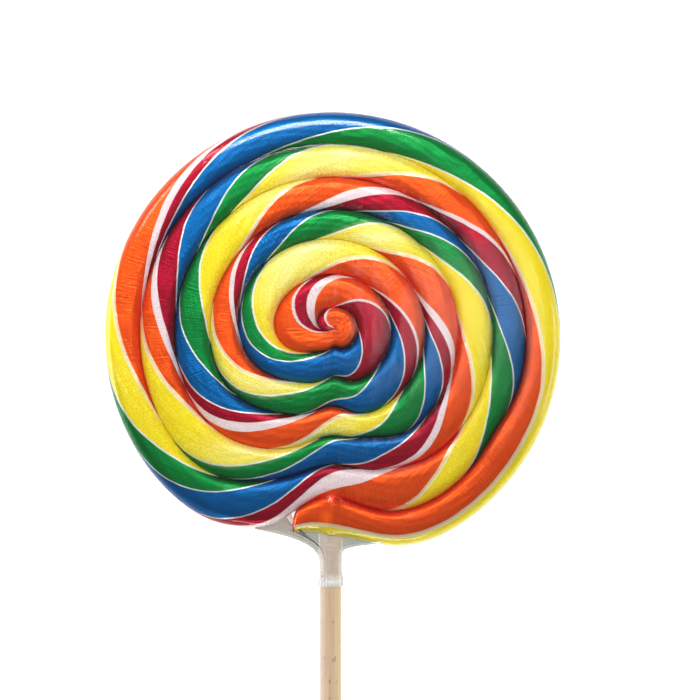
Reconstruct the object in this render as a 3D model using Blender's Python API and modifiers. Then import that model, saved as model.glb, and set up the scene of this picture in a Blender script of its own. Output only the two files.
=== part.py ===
"""Swirl lollipop: a twisted rope of pulled hard candy coiled into a flat disc, the
wooden stick pushed into its rim, and the gathered neck of the clear wrapper.

The lollipop lies on its back on the XY plane, shown side up. The centre of the coil
is over the world origin and the stick points along -Y. Run it with
blender --background --python part.py, or from the text editor.

A place along the rope is given by how many degrees the coil has turned there, counted
counter-clockwise, seen from above, from the line of the stick. The rope starts at the
rim, a little before 0, and winds inwards.
"""

import math

import bmesh
import bpy
from mathutils import Matrix, Vector

MM = 0.001

# The coil
COIL_RADIUS = 83.5 * MM      # mean radius of the disc
ROPE_WIDTH = 12.6 * MM       # how far the coil steps inwards each turn
THICKNESS = 10.5 * MM        # between the flats that the press left on top and back
TOP_GROOVE = 2.8 * MM        # depth of the valley between two turns, on top
BACK_GROOVE = 1.6 * MM       # and on the back
TOP_PRESSED, BACK_PRESSED = 1.0, 1.06    # over 1, the crest is a flat band
RIM_TOP_DROP = 3.9 * MM      # how far the free rim is rounded down from the top
RIM_BACK_RISE = 2.9 * MM     # and up from the back
HEART_RADIUS = 7.6 * MM      # radius of the last turn, which closes the centre
LEAST_RADIUS = 0.9 * MM      # a groove nearer the centre than this has closed up

# Hand-rolled shape of the coil: (share of the radius, direction in degrees)
OFF_CENTRE = (0.043, 339)
OVAL = (0.006, 75)
DENT = (0.16, -2.8)          # the soft coil was pressed in where the stick went in
DENT_SPREAD = 15.9           # degrees
# Each turn steps inside the last one shortly before the line of the stick, and a
# little earlier and more gently with every turn.
STEP_LEAD, STEP_LEAD_GROWTH = 21.0, 7.4
STEP_SPREAD, STEP_SPREAD_GROWTH = 12.7, 2.6
# Fat and thin places of the rope: (degrees turned, change of the groove's radius,
# spread in degrees). The first turn's outer side counts as turned by -360.
UNEVEN = (
    (-361, 2.6 * MM, 8),
    (-18, 2.6 * MM, 6),
    (56, -2.0 * MM, 11),
    (334, -2.0 * MM, 13),
    (379, -3.5 * MM, 15),
    (738, -3.4 * MM, 12),
    (1324, 3.0 * MM, 65),
    (1711, 2.8 * MM, 47),
)

# How finely the coil is modelled
ROWS_A_TURN = 44
ROWS_BEFORE_STICK = 3        # the rope starts this many rows before the stick's line
ROW_CROWDING = 0.5           # 0 spaces the rows evenly, and more crowds them at the stick
TOP_COLUMNS = 7
BACK_COLUMNS = 5

# The stick
STICK_RADIUS = 7.94 / 2 * MM
STICK_X = -2.0 * MM          # it sits a little left of the coil's centre
STICK_Z = 5.8 * MM
STICK_TIP_Y = -63.0 * MM     # inside the rope's first turn
STICK_END_Y = -292.0 * MM
STICK_ROUNDING = 0.6 * MM
STICK_SIDES = 28
GAP = 0.3 * MM               # between neighbouring solids

# The candy closes round the stick with this collar
COLLAR_RADIUS = 5.6 * MM
COLLAR_TIP_Y = -60.5 * MM
COLLAR_RIM_Y = -74.6 * MM
COLLAR_ROUNDING = 2.6 * MM

# The wrapper's neck: a sleeve round the stick that fans out into the dent of the rim
SLEEVE_RADIUS = 4.95 * MM
SLEEVE_LIP = 5.4 * MM        # the pucker at the sleeve's open end
SLEEVE_END_Y = -95.6 * MM
FAN_TOP_Y = -67.0 * MM       # it fills the notch beside the rope's end
# How each side of the fan widens: it starts here, and reaches this far out over this
# length along the stick, to this power, up to this limit.
LEFT_FAN = (-86.0 * MM, 18.5 * MM, 12.5 * MM, 2.2, 24.0 * MM)
RIGHT_FAN = (-82.5 * MM, 9.0 * MM, 2.5 * MM, 2.0, 24.0 * MM)
NECK_SIDES = 20

CANDY = ((0.83, 0.16, 0.03), 0.25)        # colour and roughness
WOOD = ((0.62, 0.44, 0.27), 0.65)
FILM = ((0.86, 0.88, 0.90), 0.15)


def clear_scene():
    for obj in list(bpy.data.objects):
        bpy.data.objects.remove(obj, do_unlink=True)


def new_collection(name):
    made = bpy.data.collections.new(name)
    bpy.context.scene.collection.children.link(made)
    return made


def bell(distance, spread):
    return math.exp(-((distance / spread) ** 2))


def ease(distance, spread):
    """Rises smoothly from 0 to 1 as distance goes from well below to well above 0."""
    return 0.5 * (1 + math.tanh(distance / spread))


def groove_radius(turned):
    """Radius of the valley on the rope's inner side. The rope's outer side is this a turn
    earlier, and 0 where the last turn has closed the centre."""
    turn = math.floor((turned + 180) / 360)
    past_stick = turned - turn * 360
    lead = STEP_LEAD + STEP_LEAD_GROWTH * turn
    spread = STEP_SPREAD + STEP_SPREAD_GROWTH * turn
    steps = 0 if turn < 0 else turn + ease(past_stick + lead, spread)
    share, direction = OFF_CENTRE
    shape = 1 + share * math.cos(math.radians(turned - direction))
    share, direction = OVAL
    shape += share * math.cos(2 * math.radians(turned - direction))
    share, direction = DENT
    shape *= 1 - share * bell(past_stick - direction, DENT_SPREAD)
    radius = (COIL_RADIUS - ROPE_WIDTH * steps) * shape
    radius += sum(size * bell(turned - place, spread) for place, size, spread in UNEVEN)
    return radius if radius > LEAST_RADIUS else 0.0


def row_angle(row):
    """Degrees turned at a row of the coil. The rows are the same on every turn."""
    turns = (row - ROWS_BEFORE_STICK) / ROWS_A_TURN
    crowding = ROW_CROWDING / math.tau * math.sin(math.tau * turns)
    return 360 * (turns - crowding)


def place(turned, radius, z):
    angle = math.radians(turned)
    return Vector((radius * math.sin(angle), -radius * math.cos(angle), z))


def valley_depths(turned, radius):
    """How far the valley lies below the top and above the back. It is shallower towards
    the centre, where the rope's end is one round button, and deeper along the free rim."""
    rim = ease(row_angle(0) - 12 - turned, 7)
    closed = min(1.0, radius / HEART_RADIUS)
    top = TOP_GROOVE + (RIM_TOP_DROP - TOP_GROOVE) * rim
    back = BACK_GROOVE + (RIM_BACK_RISE - BACK_GROOVE) * rim
    return top * closed, back * closed


def dome(across, squareness, pressed):
    """Height of a pressed rope's section, 0 at its two sides and 1 along its crest."""
    return min(1.0, pressed * (1 - abs(2 * across - 1) ** squareness) ** 0.62)


def section_places(columns):
    """Shares of the rope's width, crowded towards its two sides, without the sides."""
    return [(1 - math.cos(math.pi * n / columns)) / 2 for n in range(1, columns)]


def coil_mesh():
    """The coil as one closed skin. Rows of points run across the rope, and neighbouring
    turns share the points of the valley between them, on top and on the back."""
    bm = bmesh.new()
    first = -ROWS_A_TURN
    radii = {}
    row = first
    while row < 0 or radii[row - 1] > 0:
        radii[row] = groove_radius(row_angle(row))
        row += 1
    closing = row - 1                      # the first row whose valley is at the centre
    last = closing + ROWS_A_TURN           # where the rope's end has narrowed to nothing

    hearts = (bm.verts.new((0, 0, THICKNESS)), bm.verts.new((0, 0, 0)))
    valleys = {}
    for row, radius in radii.items():
        if row == closing:
            continue
        turned = row_angle(row)
        down, up = valley_depths(turned, radius)
        top = bm.verts.new(place(turned, radius, THICKNESS - down))
        back = bm.verts.new(place(turned, radius, up))
        valleys[row] = (top, back)

    def edge(row, side):
        return valleys[row][side] if row < closing else hearts[side]

    def skin_row(row, side, columns, squareness, pressed):
        """The row's points from the rope's outer valley to its inner one. The rope's end,
        round the centre, has no inner valley: it stays flat beyond its crest."""
        outer, inner = edge(row - ROWS_A_TURN, side), edge(row, side)
        flat = hearts[side].co.z
        points = [outer]
        for across in section_places(columns):
            point = outer.co.lerp(inner.co, across)
            closed = inner is hearts[side] and across > 0.5
            height = 1.0 if closed else dome(across, squareness, pressed)
            point.z = flat + (point.z - flat) * (1 - height)
            points.append(bm.verts.new(point))
        return points + [inner]

    def face(*corners):
        ring = list(dict.fromkeys(corners))
        if len(ring) > 2:
            bm.faces.new(ring)

    def skin(side, columns, *section):
        rows = [skin_row(row, side, columns, *section) for row in range(last)]
        rows.append([hearts[side]] * (columns + 1))
        for here, beyond in zip(rows, rows[1:]):
            for n in range(columns):
                corners = (here[n], beyond[n], beyond[n + 1], here[n + 1])
                face(*(corners if side == 0 else reversed(corners)))
        return rows[0]

    top_start = skin(0, TOP_COLUMNS, 2.4, TOP_PRESSED)
    back_start = skin(1, BACK_COLUMNS, 3.0, BACK_PRESSED)
    for row in range(first, 0):
        (top, back), (next_top, next_back) = valleys[row], valleys[row + 1]
        face(back, next_back, next_top, top)
    face(*reversed(back_start), *top_start)
    return bm


def object_from(name, bm, collection):
    mesh = bpy.data.meshes.new(name)
    bm.to_mesh(mesh)
    bm.free()
    obj = bpy.data.objects.new(name, mesh)
    collection.objects.link(obj)
    return obj


def cylinder(name, radius, near_y, far_y, collection, rounding=0.0):
    """A cylinder round the stick's axis."""
    bm = bmesh.new()
    bmesh.ops.create_cone(
        bm,
        cap_ends=True,
        segments=STICK_SIDES,
        radius1=radius,
        radius2=radius,
        depth=near_y - far_y,
        matrix=Matrix.Rotation(math.pi / 2, 4, "X"),
    )
    obj = object_from(name, bm, collection)
    obj.location = (STICK_X, (near_y + far_y) / 2, STICK_Z)
    if rounding:
        bevel = obj.modifiers.new("rounded ends", "BEVEL")
        bevel.width = rounding
        bevel.segments = 2
    return obj


def rim_prism(name, collection):
    """A tall prism with the outline of the coil, wider by the gap all round."""
    bm = bmesh.new()
    start = row_angle(0)
    step_back = math.degrees(GAP / groove_radius(start - 360))
    turns = [row_angle(row) for row in range(ROWS_A_TURN)]
    outline = [place(start - step_back, groove_radius(start - 360) + GAP, 0)]
    outline += [place(turned, groove_radius(turned - 360) + GAP, 0) for turned in turns]
    outline.append(place(start - step_back, groove_radius(start) + GAP, 0))
    height = 3 * THICKNESS
    base = bm.faces.new([bm.verts.new(p - Vector((0, 0, THICKNESS))) for p in outline])
    raised = bmesh.ops.extrude_face_region(bm, geom=[base])["geom"]
    moved = [part for part in raised if isinstance(part, bmesh.types.BMVert)]
    bmesh.ops.translate(bm, verts=moved, vec=(0, 0, height))
    bmesh.ops.recalc_face_normals(bm, faces=bm.faces)
    return object_from(name, bm, collection)


def neck_section(y):
    """Left and right end of the wrapper's neck, and half its height, at this place."""
    pucker = (SLEEVE_LIP - SLEEVE_RADIUS) * bell(y - SLEEVE_END_Y, 1.6 * MM)
    reaches = []
    for start, reach, length, power, limit in (LEFT_FAN, RIGHT_FAN):
        fan = reach * (max(0.0, y - start) / length) ** power
        reaches.append(SLEEVE_RADIUS + pucker + min(fan, limit))
    left, right = reaches
    return STICK_X - left, STICK_X + right, SLEEVE_RADIUS + pucker


def neck_mesh():
    """A loft from the round sleeve to the wide, flat fan that reaches into the dent."""
    heights = [SLEEVE_END_Y + n * 1.6 * MM for n in range(3)]
    heights += [LEFT_FAN[0], RIGHT_FAN[0], -81.2 * MM, -80.3 * MM, -79.4 * MM]
    heights += [-78.2 * MM, -76.5 * MM, -74.8 * MM, -73.4 * MM, FAN_TOP_Y]
    bm = bmesh.new()
    rings = []
    for y in heights:
        left, right, half_height = neck_section(y)
        ring = []
        for n in range(NECK_SIDES):
            angle = math.tau * n / NECK_SIDES
            reach = right - STICK_X if math.cos(angle) > 0 else STICK_X - left
            x = STICK_X + reach * math.cos(angle)
            ring.append(bm.verts.new((x, y, STICK_Z + half_height * math.sin(angle))))
        rings.append(ring)
    for ring, beyond in zip(rings, rings[1:]):
        for n in range(NECK_SIDES):
            m = (n + 1) % NECK_SIDES
            bm.faces.new((ring[n], ring[m], beyond[m], beyond[n]))
    bm.faces.new(reversed(rings[0]))
    bm.faces.new(rings[-1])
    bmesh.ops.recalc_face_normals(bm, faces=bm.faces)
    return bm


def boolean(obj, operation, other):
    modifier = obj.modifiers.new(other.name, "BOOLEAN")
    modifier.operation = operation
    modifier.solver = "EXACT"
    modifier.object = other


def finish(obj, look, sharp_angle=35):
    colour, roughness = look
    material = bpy.data.materials.new(obj.name)
    material.use_nodes = True
    shader = material.node_tree.nodes["Principled BSDF"]
    shader.inputs["Base Color"].default_value = (*colour, 1)
    shader.inputs["Roughness"].default_value = roughness
    shader.inputs["Metallic"].default_value = 0
    material.diffuse_color = (*colour, 1)
    obj.data.materials.append(material)
    obj.data.shade_smooth()
    obj.data.set_sharp_from_angle(angle=math.radians(sharp_angle))


def main():
    clear_scene()
    parts = new_collection("swirl_lollipop")
    helpers = new_collection("cutters")

    coil = object_from("candy_coil", coil_mesh(), parts)
    collar = cylinder(
        "collar", COLLAR_RADIUS, COLLAR_TIP_Y, COLLAR_RIM_Y, helpers, COLLAR_ROUNDING
    )
    socket = cylinder(
        "socket", STICK_RADIUS + GAP, STICK_TIP_Y + GAP, SLEEVE_END_Y - THICKNESS, helpers
    )
    boolean(coil, "UNION", collar)
    boolean(coil, "DIFFERENCE", socket)
    finish(coil, CANDY)

    stick = cylinder("stick", STICK_RADIUS, STICK_TIP_Y, STICK_END_Y, parts, STICK_ROUNDING)
    finish(stick, WOOD)

    neck = object_from("wrapper_neck", neck_mesh(), parts)
    boolean(neck, "DIFFERENCE", rim_prism("rim", helpers))
    boolean(neck, "DIFFERENCE", socket)
    finish(neck, FILM)

    for helper in helpers.objects:
        helper.hide_render = True
        helper.display_type = "WIRE"


main()
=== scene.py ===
"""Swirl lollipop: a twisted rope of pulled hard candy coiled into a flat disc on a wooden
stick, in a clear wrapper that is gathered round the stick.

The lollipop lies on its back. The centre of the coil is over the world origin and the
stick points along -Y. A place along the rope is given by how many degrees the coil has
turned there, counted counter-clockwise from the line of the stick. A place across it is
given by its side: -1 is the rope's outer valley, 0 its crest and 1 its inner valley.
"""

import math

import bpy
import numpy as np
from bpy.props import FloatProperty, FloatVectorProperty, IntProperty, PointerProperty
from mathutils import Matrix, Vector


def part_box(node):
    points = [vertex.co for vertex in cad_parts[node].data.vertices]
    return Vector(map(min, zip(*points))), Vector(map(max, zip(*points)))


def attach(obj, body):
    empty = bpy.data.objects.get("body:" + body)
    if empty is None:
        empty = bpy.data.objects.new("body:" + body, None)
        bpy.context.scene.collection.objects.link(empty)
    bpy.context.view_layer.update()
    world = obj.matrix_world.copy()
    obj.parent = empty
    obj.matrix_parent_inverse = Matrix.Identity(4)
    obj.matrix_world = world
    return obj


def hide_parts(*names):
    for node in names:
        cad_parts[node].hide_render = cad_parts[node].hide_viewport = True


bl_info = {
    "name": "Swirl lollipop",
    "version": (1, 0, 0),
    "blender": (4, 5, 0),
    "location": "3D View > Sidebar > Lollipop",
    "description": "Builds a wrapped swirl lollipop round its solid model",
    "category": "Add Mesh",
}

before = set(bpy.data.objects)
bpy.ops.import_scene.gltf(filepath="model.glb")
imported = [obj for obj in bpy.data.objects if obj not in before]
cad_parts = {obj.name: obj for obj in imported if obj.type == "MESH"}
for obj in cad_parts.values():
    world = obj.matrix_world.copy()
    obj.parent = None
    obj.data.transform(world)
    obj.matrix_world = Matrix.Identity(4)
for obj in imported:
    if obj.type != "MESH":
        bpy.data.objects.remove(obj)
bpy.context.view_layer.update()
STICK_LOW, STICK_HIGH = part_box("stick")
NECK_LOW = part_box("wrapper_neck")[0]

MM = 0.001
STICK_X = (STICK_LOW.x + STICK_HIGH.x) / 2
STICK_Z = (STICK_LOW.z + STICK_HIGH.z) / 2
STICK_RADIUS = (STICK_HIGH.x - STICK_LOW.x) / 2
STICK_TIP_Y = STICK_HIGH.y

# Hand-rolled shape of the coil: (share of the radius, direction in degrees)
OFF_CENTRE = (0.043, 339)
OVAL = (0.006, 75)
DENT = (0.16, -2.8)          # the soft coil was pressed in where the stick went in
DENT_SPREAD = 15.9
# Each turn steps inside the last one shortly before the line of the stick, and a
# little earlier and more gently with every turn.
STEP_LEAD, STEP_LEAD_GROWTH = 21.0, 7.4
STEP_SPREAD, STEP_SPREAD_GROWTH = 12.7, 2.6
# Fat and thin places of the rope: (degrees turned, change of the groove's radius,
# spread in degrees). The first turn's outer side counts as turned by -360.
UNEVEN = (
    (-361, 2.6 * MM, 8),
    (-356, 1.2 * MM, 15),
    (-18, 2.6 * MM, 6),
    (56, -2.0 * MM, 11),
    (334, -2.0 * MM, 13),
    (379, -3.5 * MM, 15),
    (738, -3.4 * MM, 12),
    (1324, 3.0 * MM, 65),
    (1711, 2.8 * MM, 47),
)
ROPE_START = -11.6           # degrees turned at the rope's cut end
CUT_END = 1.4 * MM           # how far the cut end bulges
CUT_RINGS = 4                # rings of faces over the cut end
# The rim is rounded only along the first turn: this many degrees before the rope's start
# it fades into a valley, over this spread
RIM_FADE_LEAD, RIM_FADE_SPREAD = 12, 7
# Degrees round the rope from a crest to its valley: on top evenly, and this much more near
# the valley, and on the back
TOP_GIRTH, TOP_EDGE_GIRTH, BACK_GIRTH = 41, 18, 55
BACK_RELIEF = 0.3            # how far stripes bulge on the back, as a share of the top's

# The swelling over the stick closes from just short of the stick's tip to just past it,
# and from SWELL_THIN_Y out to the rim it is thinner
SWELL_TIP_START, SWELL_TIP_END = STICK_TIP_Y - 1.2 * MM, STICK_TIP_Y + 1.9 * MM
SWELL_THIN_Y, SWELL_THINNER = -74.5 * MM, 1.0 * MM
SWELL_BLEND = 1.0 * MM       # how softly it runs into the turns
SWELL_REACH, SWELL_FAR_Y = 7 * MM, -58 * MM  # to each side of the stick, and inwards
# The dressed candy and the film on its back lie this far above the plane they rest on,
# and the film this far outside the rim
CANDY_RISE, FILM_RISE, FILM_SPREAD = 0.10 * MM, 0.02 * MM, 0.2 * MM
# Where the orange is painted lighter over the stick, a painted glow for the light that shows
# through the thin candy on the swelling: its middle, half its width and its ends
HUMP_X, HUMP_HALF_WIDTH = STICK_X - 1.5 * MM, 3.5 * MM
HUMP_LOW_Y, HUMP_HIGH_Y = -76 * MM, -66 * MM

# The stripes. Each line is one twist of the rope, and says how many degrees the coil has
# turned where yellow, green, blue, crimson, white and orange begin along the crest.
STRIPES = (
    (83, 130, 176, 221, 231, 239),
    (275, 302, 320, 341, 352, 366),
    (394, 420, 442, 466, 486, 490),
    (518, 562, 581, 603, 622, 629),
    (647, 687, 707, 742, 760, 767),
    (794, 832, 853, 870, 888, 898),
    (931, 973, 1000, 1024, 1035, 1045),
    (1076, 1105, 1135, 1155, 1167, 1175),
    (1215, 1250, 1284, 1312, 1326, 1333),
    (1369, 1398, 1453, 1509, 1536, 1541),
    (1610, 1706, 1738, 1840, 1936, 1941),
)
TOP_SQUARENESS, BACK_SQUARENESS = 4.0, 3.0
# Where in one twist these stripes usually begin
YELLOW, GREEN, BLUE, CRIMSON, WHITE, ORANGE = 0.0, 0.245, 0.43, 0.615, 0.72, 0.775
# The twist before the first yellow stripe: (degrees turned, twists)
FIRST_TWISTS = ((-400, -2.0), (-15, -0.062), (60, -0.052), (72, -0.035))
LAST_TWISTS = ((1941, 11.1), (2480, 12.9))
# At the very centre the rope's end is rolled back on itself: (degrees turned, twists)
ROLLED_BACK = (
    (1976, 10.89), (2007, 10 + ORANGE), (2028, 10 + WHITE), (2040, 10.66), (2053, 10 + WHITE),
    (2058, 10 + ORANGE), (2200, 10.88), (2395, 10 + ORANGE), (2406, 10 + WHITE), (2470, 10.65),
)
# Where the yellow is full of air and paler, and partly a painted highlight where the light falls:
# (degrees turned, spread in degrees)
CREAM_AND_HIGHLIGHT_PLACES = ((540, 26), (688, 20), (912, 28), (1068, 24), (1240, 30), (1388, 26), (1650, 50))
# The thin white lines: the stripe that they come before, half their width in millimetres,
# and how soft their edges are
PIPING = ((YELLOW, 0.7, 0.35), (GREEN, 0.34, 0.2), (BLUE, 0.24, 0.2), (CRIMSON, 0.24, 0.2))
HALF_ROPE = 6.3              # millimetres from a crest to its valley
# Where top, back and cut end lie in the flat layout of a skin, and its scale
SHEETS = ((0.295, 0.295), (0.705, 0.705), (0.86, 0.14))
SHEET_SCALE = 3.2


def srgb(red, green, blue):
    """A paint chart's colour, 0 to 255, as Blender's linear values."""
    def linear(level):
        share = level / 255
        return share / 12.92 if share <= 0.04045 else ((share + 0.055) / 1.055) ** 2.4
    return tuple(linear(level) for level in (red, green, blue))


def paint(name, description, *levels):
    return FloatVectorProperty(
        name=name, description=description, default=srgb(*levels), subtype="COLOR", min=0, max=1
    )


def length(name, description, millimetres):
    return FloatProperty(
        name=name, description=description, default=millimetres * MM, subtype="DISTANCE",
        unit="LENGTH", precision=5,
    )


def amount(name, description, default):
    return FloatProperty(name=name, description=description, default=default, min=0)


def count(name, description, default):
    return IntProperty(name=name, description=description, default=default, min=2)


class LollipopCandy(bpy.types.PropertyGroup):
    coil_radius: length("Coil radius", "Mean radius of the disc", 83.5)
    rope_width: length("Rope width", "How far the coil steps inwards each turn", 12.6)
    thickness: length("Thickness", "Between the flats on top and back", 10.5)
    top_groove: length("Top groove", "Depth of the valleys on top", 2.8)
    back_groove: length("Back groove", "Depth of the valleys on the back", 1.6)
    rim_top_drop: length("Rim drop", "How far the rim is rounded from the top", 3.9)
    rim_back_rise: length("Rim rise", "How far it is rounded from the back", 2.9)
    rim_bulge: length("Rim bulge", "How far the rim's side bulges outwards", 0.35)
    heart_radius: length("Heart radius", "Radius of the last turn", 7.6)
    least_radius: length("Least radius", "A smaller valley has closed", 0.9)
    stripe_relief: length("Stripe relief", "How far each stripe bulges", 0.10)
    unevenness: length("Unevenness", "Soft lumps of the hand-rolled rope", 0.16)
    collar_radius: length("Collar radius", "Swelling over the stick", 5.4)
    rows: count("Rows a turn", "Fineness along the rope", 360)
    top_columns: count("Top columns", "Fineness across the top", 24)
    back_columns: count("Back columns", "Fineness across the back", 10)
    rim_columns: count("Rim columns", "Fineness down the rim", 6)


class LollipopColours(bpy.types.PropertyGroup):
    yellow: paint("Yellow", "Yellow stripe", 246, 228, 36)
    green: paint("Green", "Green stripe", 8, 136, 60)
    blue: paint("Blue", "Blue stripe", 0, 100, 166)
    crimson: paint("Crimson", "Crimson stripe", 166, 12, 44)
    white: paint("White", "Broad white stripe", 240, 226, 228)
    orange: paint("Orange", "Orange stripe", 238, 90, 24)
    piping: paint("Piping", "Thin white lines between stripes", 238, 238, 232)
    wood: paint("Wood", "Birch dowel", 178, 150, 120)


class LollipopWrapper(bpy.types.PropertyGroup):
    gap: length("Gap", "Between the film and the candy's crests", 0.32)
    sag: length("Sag", "How far the film sinks into the valleys", 0.12)
    sleeve_radius: length("Sleeve radius", "Round the stick", 4.15)
    rows: count("Rows a turn", "Fineness round the disc", 180)
    columns: count("Columns", "Fineness across each turn", 8)
    haze: amount("Haze", "How white the gathered neck is", 0.35)


class LollipopStage(bpy.types.PropertyGroup):
    camera_x: length("Camera x", "To the right of the coil's centre", 5.17)
    camera_y: length("Camera y", "From the coil's centre, below 0 towards the stick", -8.12)
    camera_height: length("Camera height", "Above the back of the disc", 1008.0)
    view_width: length("View width", "What the camera sees at the disc", 258.5)
    key: amount("Key light", "Power of the main light", 2.2)
    fill: amount("Fill light", "Power of the low light on the left", 3.2)
    ambient: amount("Ambient", "Light from overhead, and more from the walls", 0.28)


# ---------------------------------------------------------------- the coil's shape


def bell(distance, spread):
    return np.exp(-((distance / spread) ** 2))


def ease(distance, spread):
    """Rises smoothly from 0 to 1 as distance goes from well below to well above 0."""
    return 0.5 * (1 + np.tanh(distance / spread))


def groove_radius(turned, candy):
    """Radius of the valley on the rope's inner side. The rope's outer side is this a turn
    earlier, and 0 where the last turn has closed the centre."""
    turned = np.asarray(turned, float)
    turn = np.floor((turned + 180) / 360)
    past_stick = turned - turn * 360
    lead = STEP_LEAD + STEP_LEAD_GROWTH * turn
    spread = STEP_SPREAD + STEP_SPREAD_GROWTH * turn
    steps = np.where(turn < 0, 0, turn + ease(past_stick + lead, spread))
    share, direction = OFF_CENTRE
    shape = 1 + share * np.cos(np.radians(turned - direction))
    share, direction = OVAL
    shape += share * np.cos(2 * np.radians(turned - direction))
    share, direction = DENT
    shape *= 1 - share * bell(past_stick - direction, DENT_SPREAD)
    radius = (candy.coil_radius - candy.rope_width * steps) * shape
    for centre, size, width in UNEVEN:
        radius += size * bell(turned - centre, width)
    return np.where(radius > candy.least_radius, radius, 0.0)


def place(turned, radius, z):
    angle = np.radians(turned)
    return np.stack([radius * np.sin(angle), -radius * np.cos(angle), z + 0 * angle], axis=-1)


def dome(side, squareness):
    """Height of a pressed rope's section, 0 at its two sides and 1 along its crest."""
    return (1 - np.abs(side) ** squareness) ** 0.62


def wander(along, wavelength, seed):
    """A smooth irregular curve between about -1 and 1."""
    total = 0
    for n, ratio in enumerate((1.0, 1.63, 2.71)):
        phase = 2.4 * seed + 1.7 * n
        total = total + np.sin(math.tau * ratio * along / wavelength + phase) / (n + 1.3)
    return total / 1.6


def smooth_curve(knots, places):
    """A curve through the knots that never swings past them."""
    x, y = np.array(sorted(knots), float).T
    step = np.diff(x)
    slope = np.diff(y) / step
    same = slope[:-1] * slope[1:] > 0
    mean = np.zeros(len(x) - 2)
    mean[same] = 2 / (1 / slope[:-1][same] + 1 / slope[1:][same])
    tangent = np.concatenate([[slope[0]], mean, [slope[-1]]])
    n = np.clip(np.searchsorted(x, places) - 1, 0, len(step) - 1)
    h = step[n]
    t = (places - x[n]) / h
    inside = np.clip(t, 0, 1)
    value = (
        y[n] * (1 + 2 * inside) * (1 - inside) ** 2
        + h * tangent[n] * inside * (1 - inside) ** 2
        + y[n + 1] * inside**2 * (3 - 2 * inside)
        + h * tangent[n + 1] * inside**2 * (inside - 1)
    )
    return value + h * (t - inside) * np.where(t < 0, tangent[n], tangent[n + 1])


def stripe_at(turned, girth):
    """Which stripe shows where the coil has turned this far, this many degrees round the
    rope from its crest. It counts the rope's twists, and its fraction says the stripe."""
    begins = (YELLOW, GREEN, BLUE, CRIMSON, WHITE, ORANGE)
    edges = list(FIRST_TWISTS) + list(ROLLED_BACK)
    for twist, line in enumerate(STRIPES):
        edges += [(edge, twist + begin) for edge, begin in zip(line, begins)]
    twists = [(line[0], n) for n, line in enumerate(STRIPES)]
    twists = list(FIRST_TWISTS) + twists + list(LAST_TWISTS)
    table = np.arange(-400, 2700, 0.5)
    twisted = smooth_curve(twists, table)
    wanted = smooth_curve(twists, turned) - girth / 360
    return smooth_curve(edges, np.interp(wanted, twisted, table))


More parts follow.
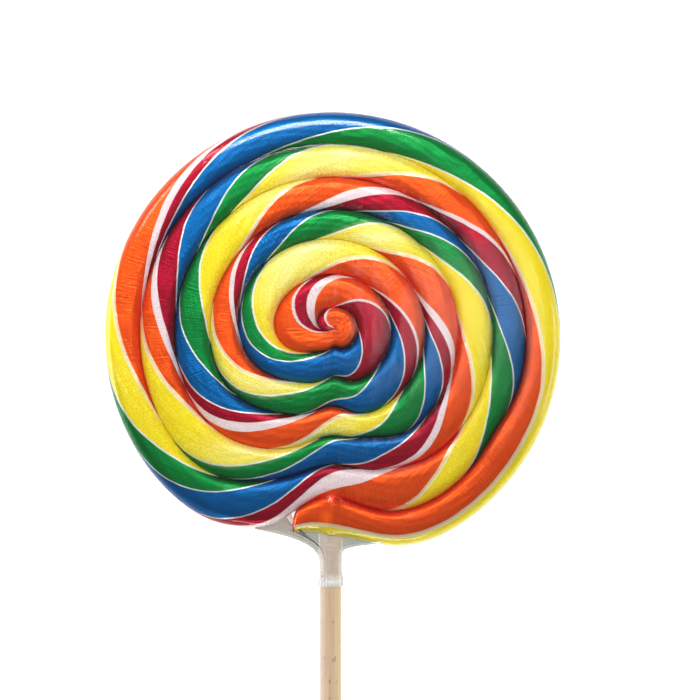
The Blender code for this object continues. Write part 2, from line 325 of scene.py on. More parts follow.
class CoilSkin:
    """The coil as one closed skin. Rows of points run across the rope, and neighbouring
    turns share the points of the valley between them."""

    def __init__(self, candy, rows, columns, grooves, offsets, relief):
        """columns are those of the top, the back and the rim, grooves the depths of the
        valleys on top and back, and offsets what is added on top, on the back and round
        the rim. relief shapes the stripes and lumps, from 0 to 1."""
        self.candy, self.rows, self.grooves, self.relief = candy, rows, grooves, relief
        self.lift, self.rise, self.spread = offsets
        number = np.arange(12 * rows)
        turned = ROPE_START + 360 * (number / rows - 1)
        radius = groove_radius(turned, candy)
        self.valleys = int(np.argmax(radius == 0))
        number = number[: self.valleys + rows + 1]
        self.turned, self.radius = turned[: len(number)], radius[: len(number)].copy()
        self.radius[self.valleys :] = 0
        self.numbers = np.minimum(number, self.valleys)

        self.points, self.total, self.faces, self.corner_values = [], 0, [], []
        top = self.surface(0, columns[0], TOP_SQUARENESS)
        back = self.surface(1, columns[1], BACK_SQUARENESS)
        rim = self.rim(top, back, columns[2])
        self.cut_end(top, back, rim)

    # -- points

    def number_points(self, points):
        first = self.total
        self.points.append(points.reshape(-1, 3))
        self.total += len(self.points[-1])
        return first + np.arange(len(self.points[-1])).reshape(points.shape[:-1])

    def valley_line(self, side):
        """The valley's points on top or back, and the centre's."""
        rim = ease(ROPE_START - RIM_FADE_LEAD - self.turned, RIM_FADE_SPREAD)
        candy = self.candy
        groove = self.grooves[side]
        limit = candy.rim_top_drop if side == 0 else candy.rim_back_rise
        closed = np.minimum(1, self.radius / candy.heart_radius)
        depth = (groove + (limit - groove) * rim) * closed
        z = candy.thickness + self.lift - depth if side == 0 else depth + self.rise
        return place(self.turned, self.radius + self.spread * rim, z), rim

    def girth(self, side, across):
        """Degrees round the rope from the crest."""
        if side == 0:
            return TOP_GIRTH * across + TOP_EDGE_GIRTH * across**5
        return -180 - BACK_GIRTH * across

    def surface(self, side, columns, squareness):
        line, rim = self.valley_line(side)
        outer = line[: self.valleys + 1]
        inner = line[self.rows : self.rows + self.valleys + 1]
        share = (1 - np.cos(np.pi * np.arange(columns + 1) / columns)) / 2
        across = 2 * share - 1
        points = outer[:, None] + (inner - outer)[:, None] * share[:, None]
        turned = self.turned[self.rows :][: self.valleys + 1][:, None] + 0 * across
        flat = self.candy.thickness + self.lift if side == 0 else self.rise
        height = dome(across, squareness) + 0 * turned
        closed = np.arange(self.valleys + 1) + self.rows >= self.valleys
        height = np.where(closed[:, None] & (across > 0), 1.0, height)
        points[..., 2] = flat + (points[..., 2] - flat) * (1 - height)
        across = across + 0 * turned
        stripe = stripe_at(turned, self.girth(side, across))
        along = self.rope_length()[:, None] + 0 * across
        outward = 1 if side == 0 else -BACK_RELIEF
        lumps = wander(along, 31 * MM, 1) + 0.6 * wander(along + 40 * across * MM, 17 * MM, 2)
        bulge = self.stripe_bulge(stripe)
        points[..., 2] += outward * self.relief * height * (
            self.candy.unevenness * lumps * (side == 0) + self.candy.stripe_relief * bulge
        )
        self.swell(points, side)
        ids = self.number_points(points[:-1, 1:-1])
        base = self.number_points(line[: self.valleys + 1])
        index = np.zeros(points.shape[:2], int)
        index[:, 0] = base[self.numbers[: self.valleys + 1]]
        index[:, -1] = base[self.numbers[self.rows :][: self.valleys + 1]]
        index[:-1, 1:-1] = ids
        index[-1] = base[-1]
        self.points[-1][:, 2] = points[:, 0, 2]
        free_side = rim[: self.valleys + 1][:, None] * (across < 0)
        # Painted highlight in part: places along the rope where the yellow is made paler and
        # creamier
        creamy = sum(bell(turned - centre, spread) for centre, spread in CREAM_AND_HIGHLIGHT_PLACES)
        # Painted shade in the valleys: weaker on each rope's outer side, where light falls on it,
        # and none on the free rim
        hollow = (1 - height) * (1 - free_side) * np.where(across < 0, 0.4, 1.0)
        values = self.measure(points, stripe, along, across, hollow, creamy)
        self.quads(index, values, points[..., :2], SHEETS[side], flip=side == 1)
        return index, points

    def stripe_bulge(self, stripe):
        """Each stripe is a strand of its own, which bulges between its edges."""
        begins = np.array([YELLOW, GREEN, BLUE, CRIMSON, WHITE, ORANGE, 1.0])
        share = np.interp(stripe % 1.0, begins, np.arange(len(begins)))
        return np.abs(np.sin(np.pi * share)) ** 0.6

    def rope_length(self):
        """Distance along the crest from the rope's start, at each row."""
        rows = slice(self.rows, self.rows + self.valleys + 1)
        middle = (self.radius[: self.valleys + 1] + self.radius[rows]) / 2
        step = middle * math.tau / self.rows
        return np.concatenate([[0], np.cumsum(step[:-1])])

    def swell(self, points, side):
        """The candy closes round the stick, so it swells a little over the stick."""
        x, y, z = points[..., 0] - STICK_X, points[..., 1], points[..., 2]
        past_tip = np.clip((y - SWELL_TIP_START) / (SWELL_TIP_END - SWELL_TIP_START), 0, 1)
        radius = (self.candy.collar_radius + self.lift) * np.sqrt(1 - past_tip**2)
        radius = radius - SWELL_THINNER * ease(SWELL_THIN_Y - y, 1.3 * MM)
        tube = np.sqrt(np.clip(radius**2 - x**2, 0, None)) - 3 * MM * (past_tip >= 1)
        sign = 1 if side == 0 else -1
        other = STICK_Z + sign * tube
        gap = sign * (other - z)
        raised = sign * 0.5 * (gap + np.sqrt(gap**2 + SWELL_BLEND**2))
        near = bell(x, SWELL_REACH) * ease(SWELL_FAR_Y - y, 1.5 * MM)
        points[..., 2] = np.maximum(z + raised * near, self.rise - FILM_RISE)

    # -- what the materials read

    def measure(self, points, stripe, along, across, hollow, creamy):
        """The corner values: the stripe, how many millimetres of skin one twist of stripes takes up
        there, millimetres along the rope, side, the painted shade in a valley, and creaminess that
        is partly a painted highlight."""
        rows, columns = np.gradient(points, axis=0), np.gradient(points, axis=1)
        down, over = np.gradient(stripe, axis=0), np.gradient(stripe, axis=1)
        aa, bb = (rows**2).sum(-1), (columns**2).sum(-1)
        ab = (rows * columns).sum(-1)
        area = np.maximum(aa * bb - ab**2, 1e-16)
        steep = (bb * down**2 - 2 * ab * down * over + aa * over**2) / area
        width = np.clip(1 / np.sqrt(np.maximum(steep, 1e-3)) / MM, 5, 400)
        return np.stack([stripe, width, along / MM, across, hollow, creamy], axis=-1)

    def quads(self, index, values, flat, sheet, flip):
        """Adds a grid's faces. flat is where they lie when the skin is laid out flat."""
        corners = np.stack([index[:-1, :-1], index[1:, :-1], index[1:, 1:], index[:-1, 1:]], -1)
        values = np.concatenate([values, flat * SHEET_SCALE + sheet], axis=-1)
        extras = np.stack([values[:-1, :-1], values[1:, :-1], values[1:, 1:], values[:-1, 1:]], -2)
        corners = corners.reshape(-1, 4)
        extras = extras.reshape(len(corners), 4, -1)
        if flip:
            corners, extras = corners[:, ::-1], extras[:, ::-1]
        kept = corners != np.roll(corners, 1, axis=1)
        kept &= (kept.sum(axis=1) > 2)[:, None]
        sizes = kept.sum(axis=1)
        sizes = sizes[sizes > 0]
        self.faces += np.split(corners[kept], np.cumsum(sizes)[:-1])
        self.corner_values.append(extras[kept])

    # -- the rim and the rope's cut end

    def rim(self, top, back, columns):
        """The free side of the first turn."""
        rows = slice(0, self.rows + 1)
        upper, lower = top[1][rows, 0], back[1][rows, 0]
        share = np.arange(columns + 1) / columns
        points = upper[:, None] + (lower - upper)[:, None] * share[:, None]
        free = np.minimum(1, np.arange(self.rows + 1)[::-1] / 6.0)
        bulge = self.candy.rim_bulge * np.sin(np.pi * share) * free[:, None]
        outward = place(self.turned[rows], 1.0, 0)
        points += outward[:, None] * bulge[..., None]
        index = np.zeros(points.shape[:2], int)
        index[:, 0], index[:, -1] = top[0][rows, 0], back[0][rows, 0]
        index[:, 1:-1] = self.number_points(points[:, 1:-1])
        turned = self.turned[rows][:, None] + 360 + 0 * share
        first, last = self.girth(0, -1), self.girth(1, -1)
        girth = first + (last - first) * share + 0 * turned
        stripe = stripe_at(turned, girth)
        along = self.rope_length()[rows][:, None] + 0 * share
        values = self.measure(points, stripe, along, -1 + 0 * turned, 0 * turned, 0 * turned)
        depth = (upper[:, None, 2] - points[..., 2])[..., None]
        uv = (upper[:, None] + outward[:, None] * depth)[..., :2]
        self.quads(index, values, uv, SHEETS[0], flip=True)
        return index, points

    def cut_end(self, top, back, rim):
        """The rope's cut end: rings that close over the first row's outline."""
        index, outline = (
            np.concatenate(
                [top[n][0, :-1], rim[n][self.rows, :-1], back[n][0, :0:-1], rim[n][0, :0:-1]]
            )
            for n in (0, 1)
        )
        stripe = stripe_at(ROPE_START + 0 * index, 0 * index)
        centre = outline.mean(axis=0)
        angle = math.radians(ROPE_START)
        backwards = np.array([-math.cos(angle), -math.sin(angle), 0])
        rings, numbers = [outline], [index]
        for n in range(1, CUT_RINGS):
            lean = n / CUT_RINGS * math.pi / 2
            ring = centre + (outline - centre) * math.cos(lean)
            ring = ring + backwards * CUT_END * math.sin(lean)
            rings.append(ring)
            numbers.append(self.number_points(ring))
        tip = (centre + backwards * CUT_END)[None]
        rings.append(np.repeat(tip, len(index), axis=0))
        numbers.append(np.repeat(self.number_points(tip), len(index)))
        points = np.stack([np.vstack([ring, ring[:1]]) for ring in rings])
        numbers = np.stack([np.append(ring, ring[0]) for ring in numbers])
        blank = 0 * points[..., 0]
        stripe = np.append(stripe, stripe[0]) + blank
        values = np.stack([stripe, blank + 50, blank, blank - 1, blank, blank], axis=-1)
        uv = points[..., [0, 2]] * (1, -1)
        self.quads(numbers, values, uv, SHEETS[2], flip=True)

    def mesh(self, name, sharp_angle):
        mesh = bpy.data.meshes.new(name)
        points = np.vstack(self.points)
        mesh.from_pydata(points.tolist(), [], [face.tolist() for face in self.faces])
        values = np.vstack(self.corner_values)
        for n, label in enumerate(("stripe", "twist_width", "along", "side", "hollow", "creamy")):
            attribute = mesh.attributes.new(label, "FLOAT", "CORNER")
            attribute.data.foreach_set("value", values[:, n].astype(np.float32))
        layout = mesh.uv_layers.new(name="OFBake")
        layout.data.foreach_set("uv", values[:, -2:].astype(np.float32).ravel())
        mesh.shade_smooth()
        mesh.set_sharp_from_angle(angle=math.radians(sharp_angle))
        return mesh


# ---------------------------------------------------------------- the wrapper's neck

# How each side of the neck widens towards the disc: it starts here, and reaches this far
# out over this length along the stick, to this power.
LEFT_FAN = (-88.0 * MM, 20.8 * MM, 13.0 * MM, 3.1)
RIGHT_FAN = (-84.5 * MM, 9.3 * MM, 4.3 * MM, 4.0)
FAN_LIMIT = 24.0 * MM
# Folds across the neck: (place along the stick, height, width)
NECK_FOLDS = (
    (-78.8 * MM, 0.30 * MM, 0.4 * MM),
    (-80.3 * MM, 0.36 * MM, 0.45 * MM),
    (-82.0 * MM, 0.30 * MM, 0.45 * MM),
    (-85.2 * MM, 0.15 * MM, 0.45 * MM),
    (-92.2 * MM, 0.30 * MM, 0.7 * MM),
    (-94.0 * MM, 0.35 * MM, 0.7 * MM),
)
NECK_SIDES, NECK_RINGS = 208, 110
# The neck's columns meet the disc somewhere between these two places along the stick
MEETS_FROM_Y, MEETS_TO_Y = -66.0 * MM, -84.0 * MM
GATHERED_Y, PLEATED_Y = -93 * MM, -83 * MM   # pleated most here, and again from here up
HIGHER_Y, HIGHER = -80 * MM, 0.45 * MM       # from here up the neck stands this much higher
OVER_STICK = 4.6 * MM        # the neck's film is backed by the stick this far to each side
RING_Y, RING_REACH = -93.6 * MM, 3.2 * MM    # the white, pushed-up ring at the open end


def disc_surface(x, y, candy):
    """Heights of the candy's top and back over these places, and whether it is there."""
    radius = np.hypot(x, y)
    turned = np.degrees(np.arctan2(x, -y))
    turned = np.where(turned < ROPE_START, turned + 360, turned)
    outer, inner = groove_radius(turned - 360, candy), groove_radius(turned, candy)
    side = np.clip(2 * (outer - radius) / (outer - inner) - 1, -1, 1)
    rim = ease(ROPE_START - RIM_FADE_LEAD - (turned - 360), RIM_FADE_SPREAD) * (side < 0)
    top_depth = candy.top_groove + (candy.rim_top_drop - candy.top_groove) * rim
    back_depth = candy.back_groove + (candy.rim_back_rise - candy.back_groove) * rim
    top = candy.thickness - top_depth * (1 - dome(side, TOP_SQUARENESS))
    back = back_depth * (1 - dome(side, BACK_SQUARENESS))
    return top, back, radius < outer


def neck_shape(candy, wrapper):
    """The gathered film: rings round the stick, whose columns run up until they meet the
    disc. It fans out to both sides and is pleated where it is gathered."""
    angle = math.tau * np.arange(NECK_SIDES) / NECK_SIDES
    across, up = np.cos(angle), np.sin(angle)
    start = NECK_LOW.y

    def at(y):
        reach = wrapper.sleeve_radius * np.ones_like(y + across)
        for fan, side in ((LEFT_FAN, across < 0), (RIGHT_FAN, across >= 0)):
            first, far, length_, power = fan
            widened = far * (np.clip(y - first, 0, None) / length_) ** power
            reach += np.minimum(widened, FAN_LIMIT) * side
        lip = 0.2 * MM * bell(y - start - 0.6 * MM, 0.9 * MM)
        height = wrapper.sleeve_radius + HIGHER * ease(y - HIGHER_Y, 3 * MM) + lip
        x = STICK_X + (reach + lip) * across
        return x, STICK_Z + height * up

    ends = np.full(NECK_SIDES, MEETS_FROM_Y)
    for y in np.arange(MEETS_FROM_Y, MEETS_TO_Y, -0.1 * MM):
        x, z = at(np.full(NECK_SIDES, y))
        top, back, there = disc_surface(x, y + 0 * x, candy)
        touching = there & (z < top + wrapper.gap + 0.2 * MM) & (z > back - 0.1 * MM)
        ends = np.where(touching, y, ends)
    share = np.linspace(0, 1, NECK_RINGS)[:, None]
    y = start + (ends - start) * share
    x, z = at(y)

    # Pleats along the stick, and small folds across it where the film was pushed together
    pleats = np.sin(15 * angle + 2.1 * np.sin(3 * angle)) + 0.6 * np.sin(23 * angle + 1.3)
    gathered = 0.10 + 0.9 * bell(y - GATHERED_Y, 3 * MM) + 0.7 * ease(y - PLEATED_Y, 3 * MM)
    fold = 0.16 * MM * gathered * (pleats + 0 * y)
    lean = y + 0.9 * MM * np.sin(angle * 2 + 0.6) + 0.5 * MM * np.sin(5 * angle)
    for centre, size, width in NECK_FOLDS:
        fold += size * bell(lean - centre, width)
    loose = 1 - share**4
    x += fold * loose * across
    z = np.maximum(z + fold * loose * up, 0.05 * MM)
    over_candy = disc_surface(x, y + 0 * x, candy)[2]
    return np.stack([x, y, z], axis=-1), 1.0 - over_candy


# ---------------------------------------------------------------- materials


class Number:
    """A number that varies over a surface. Arithmetic on it adds Math nodes."""

    def __init__(self, recipe, socket):
        self.recipe, self.socket = recipe, socket

    def maths(self, operation, *values, clamp=False):
        settings = {"operation": operation, "use_clamp": clamp}
        return self.recipe.node("ShaderNodeMath", settings, dict(enumerate(values)))

    def __add__(self, other):
        return self.maths("ADD", self, other)

    __radd__ = __add__

    def __sub__(self, other):
        return self.maths("SUBTRACT", self, other)

    def __rsub__(self, other):
        return self.maths("SUBTRACT", other, self)

    def __mul__(self, other):
        return self.maths("MULTIPLY", self, other)

    __rmul__ = __mul__

    def __truediv__(self, other):
        return self.maths("DIVIDE", self, other)

    def __mod__(self, other):
        return self.maths("FLOORED_MODULO", self, other)

    def __abs__(self):
        return self.maths("ABSOLUTE", self)

    def least(self, other):
        return self.maths("MINIMUM", self, other)

    def share(self):
        """The number kept between 0 and 1."""
        return self.maths("MULTIPLY", self, 1.0, clamp=True)


class Recipe:
    """The nodes of one material, or of the world."""

    def __init__(self, name, world=False):
        self.block = (bpy.data.worlds if world else bpy.data.materials).new(name)
        self.block.use_nodes = True
        self.tree = self.block.node_tree
        self.tree.nodes.clear()

    def node(self, kind, settings=None, sockets=None, output=0):
        made = self.tree.nodes.new(kind)
        for name, value in (settings or {}).items():
            if name == "stops":
                self.set_stops(made.color_ramp, value)
            else:
                setattr(made, name, value)
        for name, value in (sockets or {}).items():
            if isinstance(value, Number):
                self.tree.links.new(value.socket, made.inputs[name])
            elif isinstance(value, tuple) and made.inputs[name].type == "RGBA":
                made.inputs[name].default_value = (*value[:3], 1)
            else:
                made.inputs[name].default_value = value
        return Number(self, made.outputs[output]) if made.outputs else made

    def set_stops(self, ramp, stops):
        while len(ramp.elements) < len(stops):
            ramp.elements.new(1)
        for element, (position, level) in zip(ramp.elements, stops):
            element.position = position
            element.color = (level, level, level, 1)

    def attribute(self, name):
        return self.node("ShaderNodeAttribute", {"attribute_name": name}, output="Fac")

    def place(self):
        return self.node("ShaderNodeTexCoord", output="Object")

    def parts(self, vector):
        node = self.node("ShaderNodeSeparateXYZ", None, {0: vector}).socket.node
        return [Number(self, socket) for socket in node.outputs]

    def joined(self, x, y, z=0.0):
        return self.node("ShaderNodeCombineXYZ", None, {0: x, 1: y, 2: z})

    def noise(self, where, scale, detail=2.0, roughness=0.5, stretch=None):
        if stretch:
            sockets = {0: where, 1: stretch}
            where = self.node("ShaderNodeVectorMath", {"operation": "MULTIPLY"}, sockets)
        sockets = {"Vector": where, "Scale": scale, "Detail": detail, "Roughness": roughness}
        return self.node("ShaderNodeTexNoise", None, sockets, "Fac")

    def mix(self, factor, first, second, blend="MIX"):
        settings = {"data_type": "RGBA", "blend_type": blend, "clamp_factor": True}
        return self.node("ShaderNodeMix", settings, {0: factor, 6: first, 7: second}, 2)

    def bump(self, height, distance, normal=None):
        sockets = {"Height": height, "Distance": distance, "Strength": 1.0}
        if normal:
            sockets["Normal"] = normal
        return self.node("ShaderNodeBump", None, sockets)

    def principled(self, **sockets):
        named = {name.replace("_", " "): value for name, value in sockets.items()}
        return self.node("ShaderNodeBsdfPrincipled", None, named)

    def show(self, shader, output="ShaderNodeOutputMaterial"):
        self.node(output, None, {"Surface": shader})
        return self.block


def candy_material(colours):
    """Pulled hard candy: six stripes with thin white lines between most of them, the satin streaks
    of the pulling, painted shade in the valleys, creamier yellow that is partly a painted
    highlight, and a painted glow over the stick."""
    recipe = Recipe("hard_candy")
    stripe, width = recipe.attribute("stripe"), recipe.attribute("twist_width")
    along, side = recipe.attribute("along"), recipe.attribute("side")
    hollow = recipe.attribute("hollow")
    where = recipe.place()

    wobble = recipe.noise(where, 160.0, 2.0) - 0.5
    stripe = stripe + wobble * 0.5 / width
    part = stripe % 1.0
    paints = (
        (GREEN, colours.green), (BLUE, colours.blue), (CRIMSON, colours.crimson),
        (WHITE, colours.white), (ORANGE, colours.orange),
    )
    colour, past = tuple(colours.yellow), {}
    for begin, paint_ in paints:
        past[begin] = ((part - begin) * width / 0.18 + 0.5).share()
        colour = recipe.mix(past[begin], colour, tuple(paint_))
    airy = 1 - past[GREEN] + past[WHITE] - past[ORANGE]

    # Hatching across the rope, longer streaks that run with the stripes, and sugar grain
    rope = recipe.joined(along, side * HALF_ROPE)
    hatch = recipe.noise(rope, 1.0, 3.0, 0.65, stretch=(1.4, 0.10, 1.0))
    patch = recipe.noise(where, 55.0, 2.0)
    streak = recipe.noise(recipe.joined(stripe * 50.0, along * 0.03, side * 0.5), 1.0, 3.0, 0.6)
    speck = recipe.noise(where, 1900.0, 2.0, 0.7)

    # Yellow and white are full of air: they are creamier in streaks, and grainy. At the listed
    # places along the rope the creamier yellow is also a painted highlight
    middle = (1 - abs(part - GREEN / 2) * 6.0).share()
    creamy = recipe.attribute("creamy")
    cream_and_highlight_mix = (creamy * 0.9 + streak * 0.9 + patch - 1.1 + (speck - 0.5) * 1.6).share() * middle
    colour = recipe.mix(cream_and_highlight_mix * 0.8, colour, srgb(255, 247, 190))
    x, y = recipe.parts(where)[:2]

    # Painted light: the orange is painted lighter over the stick, where light shows through the
    # thin candy
    over_stick = (1 - abs(x - HUMP_X) / HUMP_HALF_WIDTH).share()
    over_stick = over_stick * ((y - HUMP_LOW_Y) / (2 * MM) + 1).share()
    over_stick = over_stick * ((HUMP_HIGH_Y - y) / (3 * MM)).share()
    thin = over_stick * past[ORANGE] * (0.35 + hatch)
    colour = recipe.mix(thin * 0.8, colour, srgb(255, 126, 24))

    # Lighter and darker streaks, the hatching in patches, and painted shade in the valleys, where
    # the colour is deepened
    hatched = (patch * 3.0 - 1.2).share()
    shade = 1 + (streak - 0.5) * 0.3 + (speck - 0.5) * 0.8 * airy
    shade = shade + (hatch - 0.5) * (0.1 + 0.7 * hatched) * (1 - 0.6 * airy)
    colour = recipe.mix(1.0, colour, recipe.joined(shade, shade, shade), "MULTIPLY")
    valley_shade_share = (hollow * 1.7 - 0.12).share() * 0.8 * (1 - 0.75 * airy)
    colour = recipe.mix(valley_shade_share, colour, recipe.mix(1.0, colour, colour, "MULTIPLY"))

    for begin, half, soft in PIPING:
        beyond = (part - begin) * width
        before = (1 - part) * width if begin == YELLOW else beyond
        apart = beyond.least(before) if begin == YELLOW else abs(beyond)
        line = ((half - apart) / soft + 0.5).share()
        tint = tuple(colours.piping)
        if begin == YELLOW:
            creamier = (before / 0.5).share()
            tint = recipe.mix(creamier, srgb(250, 214, 196), srgb(250, 240, 196))
        colour = recipe.mix(line * 0.95, colour, tint)

    rough = 0.20 + 0.14 * hatch + 0.12 * speck + 0.14 * airy
    normal = recipe.bump(hatch, 0.00022)
    normal = recipe.bump(streak, 0.00015, normal=normal)
    normal = recipe.bump(speck, 0.00005, normal=normal)
    shader = recipe.principled(
        Base_Color=colour, Metallic=0.55 - 0.4 * airy - 0.5 * thin, Roughness=rough, Normal=normal,
        Specular_IOR_Level=0.0, Coat_Weight=0.10 + 0.4 * airy, Coat_Roughness=0.25,
        Subsurface_Weight=0.6, Subsurface_Radius=(1.0, 0.7, 0.5), Subsurface_Scale=1.5 * MM,
    )
    return recipe.show(shader)


def film_material(name, base_haze, whiteness):
    """Thin clear film: mostly see-through, with a mirror's share of the light that grows
    towards grazing angles, and a grey haze where it is crumpled."""
    recipe = Recipe(name)
    where = recipe.place()
    creases = recipe.noise(where, 70.0, 3.0, 0.55, stretch=(1.0, 0.35, 1.0))
    fine = recipe.noise(where, 420.0, 2.0, 0.6, stretch=(1.0, 0.4, 1.0))
    normal = recipe.bump(creases, 0.0003)
    normal = recipe.bump(fine, 0.00002, normal=normal)
    weights = {"Blend": 0.30, "Normal": normal}
    gleam = recipe.node("ShaderNodeLayerWeight", None, weights, "Fresnel")
    glint = recipe.principled(Base_Color=(1, 1, 1), Metallic=1.0, Roughness=0.11, Normal=normal)
    clear = recipe.node("ShaderNodeBsdfTransparent")
    factor = (gleam * 0.9 + base_haze).share()
    film = recipe.node("ShaderNodeMixShader", None, {0: factor, 1: clear, 2: glint})
    if whiteness:
        x, y = recipe.parts(where)[:2]
        crumpled = recipe.attribute("crumpled")
        smoky = recipe.node("ShaderNodeBsdfTransparent", None, {"Color": (0.50, 0.50, 0.46)})
        pale = recipe.node("ShaderNodeBsdfTransparent", None, {"Color": (0.88, 0.86, 0.83)})
        on_stick = ((OVER_STICK - abs(x - STICK_X)) / (0.8 * MM)).share()
        smoky = recipe.node("ShaderNodeMixShader", None, {0: on_stick, 1: smoky, 2: pale})
        film = recipe.node("ShaderNodeMixShader", None, {0: crumpled * 0.9, 1: film, 2: smoky})
        cloudy = recipe.principled(Base_Color=srgb(222, 220, 216), Roughness=0.35, Normal=normal)
        weights = {"Blend": 0.35, "Normal": normal}
        # Painted reflection: the gathered film is painted whiter towards its grazing edges
        edge = recipe.node("ShaderNodeLayerWeight", None, weights, "Facing")
        ring = (1 - abs(y - RING_Y) / RING_REACH).share()
        veil = (whiteness * (0.35 + creases) + edge * 0.25 + ring * 0.5).share() * crumpled
        veil = veil * (0.25 + 0.75 * on_stick)
        film = recipe.node("ShaderNodeMixShader", None, {0: veil, 1: film, 2: cloudy})
    return recipe.show(film)


def wood_material(colours):
    """Birch dowel: fine straight grain along the stick, pores and a few brown flecks."""
    recipe = Recipe("birch_dowel")
    where = recipe.place()
    grain = recipe.noise(where, 900.0, 4.0, 0.6, stretch=(1.0, 0.035, 1.0))
    broad = recipe.noise(where, 240.0, 3.0, 0.5, stretch=(1.0, 0.05, 1.0))
    fleck = recipe.noise(where, 1300.0, 1.0, 0.5, stretch=(1.0, 0.25, 1.0))
    x = recipe.parts(where)[0]
    wood = tuple(colours.wood)
    colour = recipe.mix((broad * 1.8 - 0.5).share() * 0.5, wood, srgb(180, 144, 114))
    # Painted light and shade across the stick: yellower and lighter on its right side, greyer on
    # its left
    beside = (x - STICK_X) / STICK_RADIUS
    colour = recipe.mix((beside * 0.7 - 0.1).share(), colour, srgb(206, 186, 134))
    colour = recipe.mix((beside * -1.3 - 0.3).share(), colour, srgb(176, 162, 150))
    colour = recipe.mix((grain * 2.4 - 0.9).share() * 0.35, colour, srgb(220, 198, 172))
    colour = recipe.mix((fleck * 14.0 - 9.6).share() * 0.7, colour, srgb(118, 74, 40))
    normal = recipe.bump(grain, 0.00008)
    rough = 0.5 + 0.25 * grain
    return recipe.show(recipe.principled(Base_Color=colour, Roughness=rough, Normal=normal))


def floor_material():
    recipe = Recipe("white_floor")
    where = recipe.place()
    tone = recipe.noise(where, 3.0, 1.0)
    colour = recipe.mix(tone, (0.90, 0.90, 0.90), (0.93, 0.93, 0.93))
    shader = recipe.principled(
        Base_Color=colour, Roughness=0.9, Emission_Color=(1, 1, 1), Emission_Strength=0.8
    )
    return recipe.show(shader)


# ---------------------------------------------------------------- operators


def new_piece(name, mesh, material):
    made = bpy.data.objects.new(name, mesh)
    bpy.context.scene.collection.objects.link(made)
    mesh.materials.append(material)
    return made


class LOLLIPOP_OT_candy(bpy.types.Operator):
    """Builds the coiled rope of striped candy over its solid"""

    bl_idname = "lollipop.candy"
    bl_label = "Candy coil"

    def execute(self, context):
        candy = context.scene.lollipop_candy
        columns = (candy.top_columns, candy.back_columns, candy.rim_columns)
        grooves = (candy.top_groove, candy.back_groove)
        skin = CoilSkin(candy, candy.rows, columns, grooves, (0.0, CANDY_RISE, 0.0), 1.0)
        mesh = skin.mesh("candy", 60)
        if len(mesh.polygons) < 1000:
            raise RuntimeError("the candy coil has no faces")
        coil = new_piece("candy", mesh, candy_material(context.scene.lollipop_colours))
        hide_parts("candy_coil")
        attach(coil, "root")
        return {"FINISHED"}


class LOLLIPOP_OT_wrapper(bpy.types.Operator):
    """Wraps the disc in thin clear film, drawn tight over the turns"""

    bl_idname = "lollipop.wrapper"
    bl_label = "Wrapper over the disc"

    def execute(self, context):
        candy, wrapper = context.scene.lollipop_candy, context.scene.lollipop_wrapper
        columns = (wrapper.columns, wrapper.columns, 4)
        grooves = (wrapper.sag, wrapper.sag)
        offsets = (wrapper.gap, FILM_RISE, FILM_SPREAD)
        skin = CoilSkin(candy, wrapper.rows, columns, grooves, offsets, 0.0)
        mesh = skin.mesh("wrapper_film", 60)
        film = new_piece("wrapper_film", mesh, film_material("clear_film", 0.0, 0))
        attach(film, "root")
        return {"FINISHED"}


class LOLLIPOP_OT_neck(bpy.types.Operator):
    """Gathers the wrapper's open end round the stick"""

    bl_idname = "lollipop.neck"
    bl_label = "Wrapper's neck"

    def execute(self, context):
        candy, wrapper = context.scene.lollipop_candy, context.scene.lollipop_wrapper
        points, crumpled = neck_shape(candy, wrapper)
        rings, sides = points.shape[:2]
        number = np.arange(rings * sides).reshape(rings, sides)
        beyond = np.roll(number, -1, axis=1)
        faces = np.stack([number[:-1], beyond[:-1], beyond[1:], number[1:]], -1).reshape(-1, 4)
        mesh = bpy.data.meshes.new("wrapper_gather")
        mesh.from_pydata(points.reshape(-1, 3).tolist(), [], faces.tolist())
        attribute = mesh.attributes.new("crumpled", "FLOAT", "POINT")
        attribute.data.foreach_set("value", crumpled.astype(np.float32).ravel())
        mesh.shade_smooth()
        neck = new_piece("wrapper_gather", mesh, film_material("gathered_film", 0.03, wrapper.haze))
        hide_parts("wrapper_neck")
        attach(neck, "root")
        return {"FINISHED"}


class LOLLIPOP_OT_stick(bpy.types.Operator):
    """Gives the stick its wood"""

    bl_idname = "lollipop.stick"
    bl_label = "Stick"

    def execute(self, context):
        material = wood_material(context.scene.lollipop_colours)
        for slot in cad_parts["stick"].material_slots:
            slot.material = material
        return {"FINISHED"}


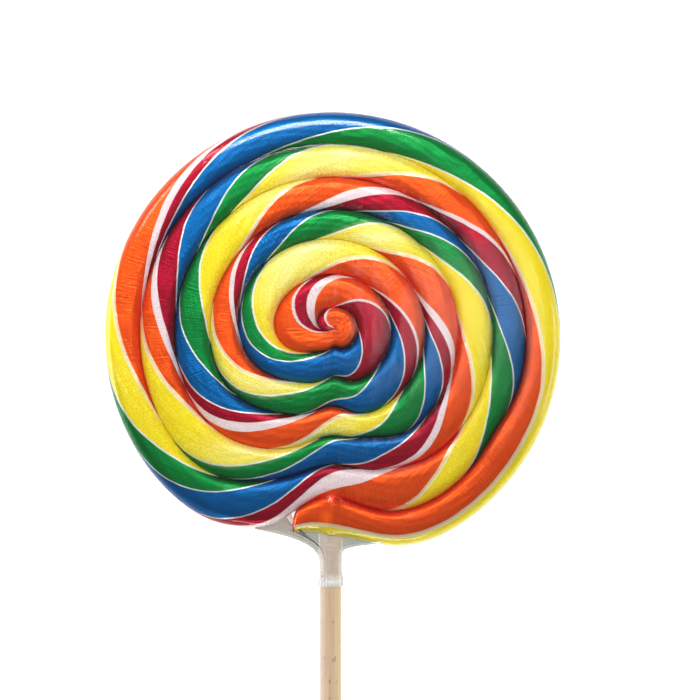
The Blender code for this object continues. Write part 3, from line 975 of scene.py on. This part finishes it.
class LOLLIPOP_OT_stage(bpy.types.Operator):
    """Sets up the camera, the white floor and soft studio lights"""

    bl_idname = "lollipop.stage"
    bl_label = "Stage"

    def execute(self, context):
        scene, stage = context.scene, context.scene.lollipop_stage
        lens = bpy.data.cameras.new("camera")
        camera = bpy.data.objects.new("camera", lens)
        scene.collection.objects.link(camera)
        camera.location = (stage.camera_x, stage.camera_y, stage.camera_height)
        disc_level = 8 * MM
        lens.lens = lens.sensor_width * (stage.camera_height - disc_level) / stage.view_width
        lens.clip_start = 0.01
        scene.camera = camera

        mesh = bpy.data.meshes.new("floor")
        reach, low = 3.0, -0.5 * MM
        ground = ((-reach, -reach), (reach, -reach), (reach, reach), (-reach, reach))
        corners = [(x, y, low) for x, y in ground]
        mesh.from_pydata(corners, [], [(0, 1, 2, 3)])
        new_piece("floor", mesh, floor_material())

        scene.world = self.surroundings(stage.ambient)
        scene.view_settings.view_transform = "Standard"

        self.lamp("key", (-0.04, 0.42, 0.90), (0.24, 0.30), stage.key)
        self.lamp("window", (-0.45, 0.45, 0.60), (0.35, 0.30), 1.1 * stage.key)
        self.lamp("left", (-0.95, -0.05, 0.20), (0.5, 0.3), stage.fill)
        self.lamp("right", (0.90, -0.10, 0.50), (0.5, 0.5), 0.8 * stage.fill)
        self.lamp("front", (0.0, -0.85, 0.50), (0.6, 0.14), 0.7 * stage.fill)
        self.lamp("right_card", (0.135, 0.032, 1.0), (0.09, 0.24), 0.17)
        self.lamp("close", (-0.03, 0.19, 0.33), (0.16, 0.08), 0.5)
        return {"FINISHED"}

    def surroundings(self, ambient):
        """White walls all around, brighter at and below the horizon than overhead."""
        recipe = Recipe("studio", world=True)
        direction = recipe.node("ShaderNodeTexCoord", output="Generated")
        low = (1 - recipe.parts(direction)[2] / 0.6).share()
        sockets = {"Color": (1, 1, 1), "Strength": ambient * (1 + 3.5 * low)}
        light = recipe.node("ShaderNodeBackground", None, sockets)
        return recipe.show(light, "ShaderNodeOutputWorld")

    def lamp(self, name, position, size, power):
        light = bpy.data.lights.new(name, "AREA")
        light.shape = "RECTANGLE"
        light.size, light.size_y = size
        light.energy = power
        made = bpy.data.objects.new(name, light)
        made.location = position
        made.rotation_euler = Vector(position).to_track_quat("Z", "Y").to_euler()
        bpy.context.scene.collection.objects.link(made)


class LOLLIPOP_PT_panel(bpy.types.Panel):
    """The lollipop's sizes and colours, and the steps that build it"""

    bl_idname = "LOLLIPOP_PT_panel"
    bl_label = "Swirl lollipop"
    bl_space_type = "VIEW_3D"
    bl_region_type = "UI"
    bl_category = "Lollipop"

    def draw(self, context):
        for group, label in GROUPS:
            settings = getattr(context.scene, label)
            box = self.layout.box()
            for name in group.__annotations__:
                box.prop(settings, name)
        for operator in OPERATORS:
            self.layout.operator(operator.bl_idname)


GROUPS = (
    (LollipopCandy, "lollipop_candy"),
    (LollipopColours, "lollipop_colours"),
    (LollipopWrapper, "lollipop_wrapper"),
    (LollipopStage, "lollipop_stage"),
)
OPERATORS = (
    LOLLIPOP_OT_stage,
    LOLLIPOP_OT_candy,
    LOLLIPOP_OT_stick,
    LOLLIPOP_OT_wrapper,
    LOLLIPOP_OT_neck,
)


def register():
    for group, label in GROUPS:
        bpy.utils.register_class(group)
        setattr(bpy.types.Scene, label, PointerProperty(type=group))
    for kind in (*OPERATORS, LOLLIPOP_PT_panel):
        bpy.utils.register_class(kind)


def unregister():
    for kind in (LOLLIPOP_PT_panel, *reversed(OPERATORS)):
        bpy.utils.unregister_class(kind)
    for group, label in GROUPS:
        delattr(bpy.types.Scene, label)
        bpy.utils.unregister_class(group)


def main():
    register()
    for operator in OPERATORS:
        step = getattr(bpy.ops.lollipop, operator.bl_idname.split(".")[1])
        step()


if __name__ == "__main__":
    main()
